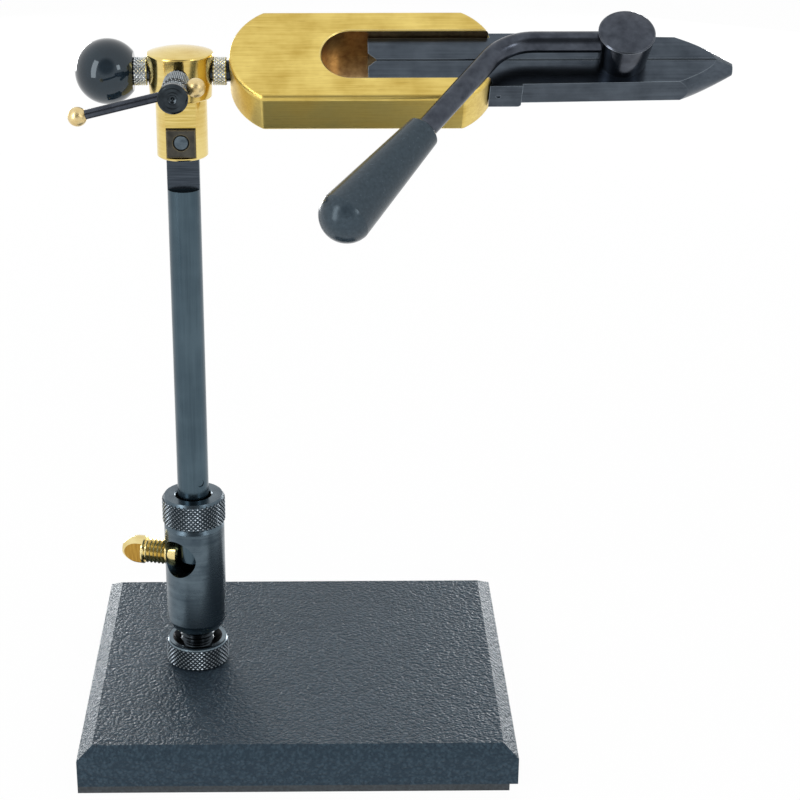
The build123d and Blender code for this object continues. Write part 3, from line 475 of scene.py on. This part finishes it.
# Polished brass of the yoke: deeper in colour and nearly a mirror, with a brushed flat on its front
brass_yoke = flatted(
    metal(
        "polished brass cylinder", "#D3B565", "#EBD68E", rough=(0.1, 0.2), streak_mm=(15, 15, 0.8),
        cloud_mm=12, bump=0.03,
    ),
    front_mm=-5.87, low_mm=178.0, high_mm=194.7, dark="#C4A955", light="#E6CF84",
)
# Tumbled brass balls: pale and softly mottled
brass_satin = metal(
    "tumbled brass", "#CDAE6C", "#EAD6A4", rough=(0.3, 0.42), streak_mm=(2, 2, 2), cloud_mm=2.5, bump=0.1
)
# Bronze bush, painted dark as painted shade in the collar's mouth
bronze_shade_painted = metal(
    "bronze painted dark with shade", "#2E2618", "#453A26", rough=(0.3, 0.45), streak_mm=(6, 6, 0.5), cloud_mm=5, bump=0.1
)
# Plain turned steel of the collars, springs and small screws: bright, with fine rings
steel_plain = metal(
    "turned steel", "#9A9DA0", "#C9CCCE", rough=(0.25, 0.4), streak_mm=(6, 6, 0.4), cloud_mm=8, bump=0.1
)
# Knurls: on the nuts blued with grey tips, on the tension screw black with bright tips, on the collars
# bright; the dark roots are painted shade and the bright tips painted glints
steel_knurl = knurled("knurled blued steel", root="#14171A", flank="#3C444B", tip="#98A1A8")
screw_knurl = knurled("knurled black steel", root="#0A0C0E", flank="#3E454B", tip="#BFC6CA")
collar_knurl = knurled("knurled bright steel", root="#3A4046", flank="#D8E3E9", tip="#FFFFFF")
# Phenolic ball: gloss black, a little blue in its depth
ball_gloss = moulded(
    "black phenolic", "#10171E", "#19232B", rough=(0.05, 0.09), grain_mm=9, bump=0.01, gloss=0.35
)
# Moulded grip: satin, a shade lighter than the ball, with a fine grain
grip_satin = moulded("satin black plastic", "#232C33", "#303A42", rough=(0.18, 0.28), grain_mm=0.9, bump=0.1)
# Nylon of the brake plug: milky and dull
plug_nylon = moulded("natural nylon", "#D6D3C8", "#E6E3DA", rough=(0.4, 0.5), grain_mm=1.5, bump=0.1)

finishes = {
    powder_coat(): ["base_plate"],
    pad_rubber(): ["base_pad"],
    stem_blued: ["stem"],
    blued_turned: ["socket_barrel", "collar_nut"],
    nut_blued: ["lock_nut"],
    jaw_black: ["jaw_near", "jaw_far"],
    block_black: ["key_block"],
    pin_blued: ["cross_pin"],
    hub_black: ["cam_hub", "lever_rod", "tommy_bar"],
    # the base stud is made near-black here as painted shade
    screw_black: ["tension_screw", "base_stud", "rotary_shaft"],
    brass_slab: ["jaw_body"],
    brass_yoke: ["yoke"],
    brass_screw: ["thumb_screw"],
    brass_satin: ["tommy_ball_left", "tommy_ball_right"],
    bronze_shade_painted: ["stem_bush"],
    steel_plain: [
        "base_screw",
        "thrust_collar_left",
        "thrust_collar_right",
        "jaw_pivot_near",
        "jaw_pivot_far",
        "jaw_spring_near",
        "jaw_spring_far",
        "cam_washer",
        "cam_screw",
    ],
    ball_gloss: ["ball_knob"],
    grip_satin: ["lever_grip"],
    plug_nylon: ["brake_plug"],
}
for material, nodes in finishes.items():
    for node in nodes:
        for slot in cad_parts[node].material_slots:
            slot.link = "OBJECT"
            slot.material = material


def new_tree(name, sizes):
    """A geometry tree, and its named inputs."""
    tree = bpy.data.node_groups.new(name, "GeometryNodeTree")
    for label, kind in sizes.items():
        tree.interface.new_socket(label, in_out="INPUT", socket_type=kind)
    tree.interface.new_socket("Geometry", in_out="OUTPUT", socket_type="NodeSocketGeometry")
    return tree, add(tree, "NodeGroupInput").outputs


def end_tree(tree, geometry, material):
    """Ends a geometry tree in a plain mesh of one material."""
    real = add(tree, "GeometryNodeRealizeInstances", {"Geometry": geometry})
    painted = add(tree, "GeometryNodeSetMaterial", {"Geometry": real, "Material": material})
    add(tree, "NodeGroupOutput", {"Geometry": painted})
    return tree


def knurl_tree():
    """Diamond teeth in staggered rows round a cylinder that stands on the origin along Z. A round
    patch can be left bare for a cross hole."""
    tree, given = new_tree(
        "diamond knurl",
        {
            "Radius": "NodeSocketFloat",
            "Length": "NodeSocketFloat",
            "Around": "NodeSocketInt",
            "Rows": "NodeSocketInt",
            "Tooth Height": "NodeSocketFloat",
            "Hole Along": "NodeSocketFloat",
            "Hole Turn": "NodeSocketFloat",
            "Hole Radius": "NodeSocketFloat",
            "Material": "NodeSocketMaterial",
        },
    )
    radius, around, rows = given["Radius"], given["Around"], given["Rows"]

    # Each tooth's row and column come from its number, and every other row is half a tooth on
    count = add(tree, "ShaderNodeMath", {0: around, 1: rows}, operation="MULTIPLY")
    points = add(tree, "GeometryNodeMeshLine", {"Count": count})
    index = add(tree, "GeometryNodeInputIndex")
    laps = add(tree, "ShaderNodeMath", {0: index, 1: around}, operation="DIVIDE")
    row = add(tree, "ShaderNodeMath", {0: laps}, operation="FLOOR")
    odd = add(tree, "ShaderNodeMath", {0: row, 1: 2.0}, operation="MODULO")
    stagger = add(tree, "ShaderNodeMath", {0: odd, 1: 0.5}, operation="MULTIPLY")
    step = add(tree, "ShaderNodeMath", {0: index, 1: around}, operation="MODULO")
    column = add(tree, "ShaderNodeMath", {0: step, 1: stagger}, operation="ADD")
    lap = add(tree, "ShaderNodeMath", {0: column, 1: around}, operation="DIVIDE")
    angle = add(tree, "ShaderNodeMath", {0: lap, 1: 2 * pi}, operation="MULTIPLY")
    row_pitch = add(tree, "ShaderNodeMath", {0: given["Length"], 1: rows}, operation="DIVIDE")
    row_middle = add(tree, "ShaderNodeMath", {0: row, 1: 0.5}, operation="ADD")
    along = add(tree, "ShaderNodeMath", {0: row_middle, 1: row_pitch}, operation="MULTIPLY")
    cosine = add(tree, "ShaderNodeMath", {0: angle}, operation="COSINE")
    sine = add(tree, "ShaderNodeMath", {0: angle}, operation="SINE")
    x = add(tree, "ShaderNodeMath", {0: radius, 1: cosine}, operation="MULTIPLY")
    y = add(tree, "ShaderNodeMath", {0: radius, 1: sine}, operation="MULTIPLY")
    place = add(tree, "ShaderNodeCombineXYZ", {"X": x, "Y": y, "Z": along})
    rolled = add(tree, "GeometryNodeSetPosition", {"Geometry": points, "Position": place})

    # The bare patch
    past_hole = add(tree, "ShaderNodeMath", {0: angle, 1: given["Hole Turn"]}, operation="SUBTRACT")
    sine_past = add(tree, "ShaderNodeMath", {0: past_hole}, operation="SINE")
    sideways = add(tree, "ShaderNodeMath", {0: radius, 1: sine_past}, operation="MULTIPLY")
    lengthways = add(tree, "ShaderNodeMath", {0: along, 1: given["Hole Along"]}, operation="SUBTRACT")
    offset = add(tree, "ShaderNodeCombineXYZ", {"X": sideways, "Y": lengthways})
    away = add(tree, "ShaderNodeVectorMath", {0: offset}, operation="LENGTH")
    bare = add(
        tree, "ShaderNodeMath", {0: away.outputs["Value"], 1: given["Hole Radius"]}, operation="LESS_THAN"
    )
    kept = add(tree, "GeometryNodeDeleteGeometry", {"Geometry": rolled, "Selection": bare})

    # One tooth, which knows how high each of its points is
    tooth = add(
        tree,
        "GeometryNodeMeshCone",
        {"Vertices": 4, "Radius Top": 0.16, "Radius Bottom": 1.0, "Depth": given["Tooth Height"]},
    )
    point = add(tree, "GeometryNodeInputPosition")
    height = add(tree, "ShaderNodeSeparateXYZ", {"Vector": point}).outputs["Z"]
    crest = add(tree, "ShaderNodeMath", {0: height, 1: given["Tooth Height"]}, operation="DIVIDE")
    marked = add(
        tree,
        "GeometryNodeStoreNamedAttribute",
        {"Geometry": tooth, "Name": "crest", "Value": crest},
        data_type="FLOAT",
        domain="POINT",
    )

    # The teeth face outwards, and are as wide and as long as their pitch
    turn = add(tree, "ShaderNodeCombineXYZ", {"X": 0.0, "Y": pi / 2, "Z": angle})
    facing = add(tree, "FunctionNodeEulerToRotation", {"Euler": turn})
    half_round = add(tree, "ShaderNodeMath", {0: radius, 1: pi}, operation="MULTIPLY")
    half_pitch = add(tree, "ShaderNodeMath", {0: half_round, 1: around}, operation="DIVIDE")
    spread = add(tree, "ShaderNodeCombineXYZ", {"X": row_pitch, "Y": half_pitch, "Z": 1.0})
    teeth = add(
        tree,
        "GeometryNodeInstanceOnPoints",
        {"Points": kept, "Instance": marked, "Rotation": facing, "Scale": spread},
    )
    return end_tree(tree, teeth, given["Material"])


def thread_tree():
    """A ridge wound round a shank that stands on the origin along Z."""
    tree, given = new_tree(
        "screw thread",
        {
            "Radius": "NodeSocketFloat",
            "Length": "NodeSocketFloat",
            "Turns": "NodeSocketFloat",
            "Ridge": "NodeSocketFloat",
            "Material": "NodeSocketMaterial",
        },
    )
    path = add(
        tree,
        "GeometryNodeCurveSpiral",
        {
            "Resolution": 40,
            "Rotations": given["Turns"],
            "Start Radius": given["Radius"],
            "End Radius": given["Radius"],
            "Height": given["Length"],
        },
    )
    section = add(tree, "GeometryNodeCurvePrimitiveCircle", {"Resolution": 4, "Radius": given["Ridge"]})
    ridge = add(
        tree, "GeometryNodeCurveToMesh", {"Curve": path, "Profile Curve": section, "Fill Caps": True}
    )
    return end_tree(tree, ridge, given["Material"])


def grown(name, tree, sizes, place, body):
    """A tree's result as a plain mesh, put where its node is, riding on that body."""
    seed = bpy.data.objects.new(name + "_seed", bpy.data.meshes.new(name + "_seed"))
    bpy.context.collection.objects.link(seed)
    modifier = seed.modifiers.new(name, "NODES")
    modifier.node_group = tree
    for item in tree.interface.items_tree:
        if item.in_out == "INPUT":
            modifier[item.identifier] = sizes[item.name]
    depsgraph = bpy.context.evaluated_depsgraph_get()
    mesh = bpy.data.meshes.new_from_object(seed.evaluated_get(depsgraph))
    seed.modifiers.remove(modifier)
    bpy.data.objects.remove(seed)
    mesh.transform(place)
    piece = bpy.data.objects.new(name, mesh)
    bpy.context.collection.objects.link(piece)
    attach(piece, body)


def stand(point_mm, axis):
    """The matrix that stands a piece made along Z on a point, along an axis."""
    turn = Vector(UP).rotation_difference(Vector(axis)).to_matrix().to_4x4()
    return Matrix.Translation(Vector(point_mm) * MM) @ turn


knurl = knurl_tree()


def knurl_band(name, body, slot, material, place, radius, length, pitch, tooth, hole=(0.0, 0.0, 0.0)):
    """One band of knurling, with whole numbers of teeth near the wanted pitch. A hole is how far along
    the band it is, the angle at which it comes out, and its radius."""
    hole_along, hole_turn, hole_radius = hole
    sizes = {
        "Radius": radius * MM,
        "Length": length * MM,
        "Around": round(2 * pi * radius / pitch),
        "Rows": round(2 * length / pitch),
        "Tooth Height": tooth * MM,
        "Hole Along": hole_along * MM,
        "Hole Turn": hole_turn,
        "Hole Radius": hole_radius * MM,
        "Material": material,
    }
    grown(name, knurl, sizes, place, body)


knurl_band(
    "lock_nut_knurl", "lock_nut", "dark_steel", steel_knurl,
    place=stand((COLUMN_X, 0, LOCK_NUT_BAND), UP), radius=9.36, length=6.4, **NUT_KNURL,
)
knurl_band(
    "collar_nut_knurl", "collar_nut", "dark_steel", steel_knurl,
    place=stand((COLUMN_X, 0, COLLAR_NUT_BAND), UP), radius=9.31, length=7.5, **NUT_KNURL,
)
knurl_band(
    "tension_screw_knurl", "tension_screw", "dark_steel", screw_knurl,
    place=stand((COLUMN_X, TENSION_BAND, ROTARY_HEIGHT), FRONT), radius=3.52, length=16.0, **SCREW_KNURL,
    hole=TOMMY_HOLE,
)
for side, left_end, length in (("left", -45.0, 3.6), ("right", -22.6, 3.5)):
    knurl_band(
        f"thrust_collar_{side}_knurl", "rotor", "bright_steel", collar_knurl,
        place=stand((left_end, 0, ROTARY_HEIGHT), RIGHT), radius=3.7, length=length, **COLLAR_KNURL,
    )
grown(
    "tension_screw_thread",
    thread_tree(),
    {"Radius": 2.28 * MM, "Length": 5.8 * MM, "Turns": 7.25, "Ridge": 0.24 * MM, "Material": screw_black},
    stand((COLUMN_X, TENSION_THREAD, ROTARY_HEIGHT), FRONT),
    "tension_screw",
)


def studio_seen(tree, rays):
    """1 for the rays that show the studio itself, to the camera or in metal and glass."""
    opaque = add(
        tree, "ShaderNodeMath", {0: rays["Is Camera Ray"], 1: rays["Is Glossy Ray"]}, operation="MAXIMUM"
    )
    return add(tree, "ShaderNodeMath", {0: opaque, 1: rays["Is Transmission Ray"]}, operation="MAXIMUM")


# Studio, in metres: white paper, soft lamps, and a white surround that is dim above the front, where
# the room is
FLOOR_REACH = 3.0
FLOOR_LEVEL = -0.0001
PAPER_GLOW = 0.97  # the rest of the paper's white is lit, and keeps the shadow
ROOM_WAY = (0.0, -0.87, 0.49)
LAMP_AIM = Vector((0, 0, 0.13))
SENSOR_WIDTH = 36.0
FOCAL_LENGTH_SHARE = 1990 / 800  # of the picture's width
CAMERA_SPOT = Vector((6.5, -553.9, 330.0)) * MM
CAMERA_TILT, CAMERA_PAN = 67.61, -0.67  # degrees
CAMERA_SHIFT = 0.075

floor_corners = [(x * FLOOR_REACH, y * FLOOR_REACH, 0) for x, y in ((-1, -1), (1, -1), (1, 1), (-1, 1))]
floor_mesh = bpy.data.meshes.new("floor")
floor_mesh.from_pydata(floor_corners, [], [(0, 1, 2, 3)])
floor = bpy.data.objects.new("floor", floor_mesh)
floor.location.z = FLOOR_LEVEL
bpy.context.collection.objects.link(floor)

# Matt white paper: plain white to the eye, with a soft shadow
paper = bpy.data.materials.new("white paper sweep")
paper.use_nodes = True
tree = paper.node_tree
tree.nodes.clear()
shown = studio_seen(tree, add(tree, "ShaderNodeLightPath").outputs)
matt = add(tree, "ShaderNodeBsdfDiffuse", {"Color": linear("#E6E6E6")})
glow = add(tree, "ShaderNodeEmission", {"Color": linear("#FFFFFF"), "Strength": 1.0})
lit = add(tree, "ShaderNodeMath", {0: shown, 1: PAPER_GLOW}, operation="MULTIPLY")
mixed = add(tree, "ShaderNodeMixShader", {0: lit, 1: matt, 2: glow})
add(tree, "ShaderNodeOutputMaterial", {"Surface": mixed})
floor_mesh.materials.append(paper)

world = bpy.data.worlds.new("white studio")
bpy.context.scene.world = world
world.use_nodes = True
tree = world.node_tree
tree.nodes.clear()
rays = add(tree, "ShaderNodeLightPath").outputs
shown = studio_seen(tree, rays)
way = add(tree, "ShaderNodeTexCoord").outputs["Generated"]
ahead = add(tree, "ShaderNodeVectorMath", {0: way, 1: ROOM_WAY}, operation="DOT_PRODUCT")
room = add(
    tree,
    "ShaderNodeMapRange",
    {"Value": ahead.outputs["Value"], "From Min": 0.8, "From Max": 0.96, "To Min": 0.0, "To Max": -0.78},
    interpolation_type="SMOOTHSTEP",
)
bright = add(tree, "ShaderNodeMath", {0: rays["Is Glossy Ray"], 1: room, 2: 1.0}, operation="MULTIPLY_ADD")
soft = add(tree, "ShaderNodeBackground", {"Color": linear("#F4F6F8"), "Strength": 0.55})
white = add(tree, "ShaderNodeBackground", {"Color": linear("#FFFFFF"), "Strength": bright})
both = add(tree, "ShaderNodeMixShader", {0: shown, 1: soft, 2: white})
add(tree, "ShaderNodeOutputWorld", {"Surface": both})

# Each lamp's place, its width and height, its watts, and whether it shows in polished surfaces
for name, spot, size, watts, mirrored in (
    ("top lamp", (0.0, 0.7, 0.95), (1.1, 0.7), 5.0, False),
    ("front lamp", (0.0, -1.0, 0.35), (0.9, 0.5), 5.0, False),
    ("left lamp", (-0.62, -0.56, 0.42), (0.28, 0.85), 3.0, True),
    ("right lamp", (0.6, -0.6, 0.55), (0.2, 0.26), 0.7, True),
    ("left strip", (-0.5, 0.95, 0.1), (0.5, 0.18), 4.2, True),
    ("right strip", (0.5, 0.95, 0.1), (0.5, 0.18), 3.6, True),
):
    lamp = bpy.data.lights.new(name, "AREA")
    lamp.energy = watts
    lamp.shape = "RECTANGLE"
    lamp.size, lamp.size_y = size
    holder = bpy.data.objects.new(name, lamp)
    holder.location = spot
    holder.visible_camera = False
    holder.visible_glossy = mirrored
    holder.rotation_euler = (LAMP_AIM - Vector(spot)).to_track_quat("-Z", "Y").to_euler()
    bpy.context.collection.objects.link(holder)

camera_data = bpy.data.cameras.new("camera")
camera_data.sensor_width = SENSOR_WIDTH
camera_data.lens = SENSOR_WIDTH * FOCAL_LENGTH_SHARE
camera_data.shift_x = CAMERA_SHIFT
camera = bpy.data.objects.new("camera", camera_data)
camera.location = CAMERA_SPOT
camera.rotation_euler = (radians(CAMERA_TILT), 0, radians(CAMERA_PAN))
bpy.context.collection.objects.link(camera)
bpy.context.scene.camera = camera
bpy.context.scene.view_settings.view_transform = "Standard"
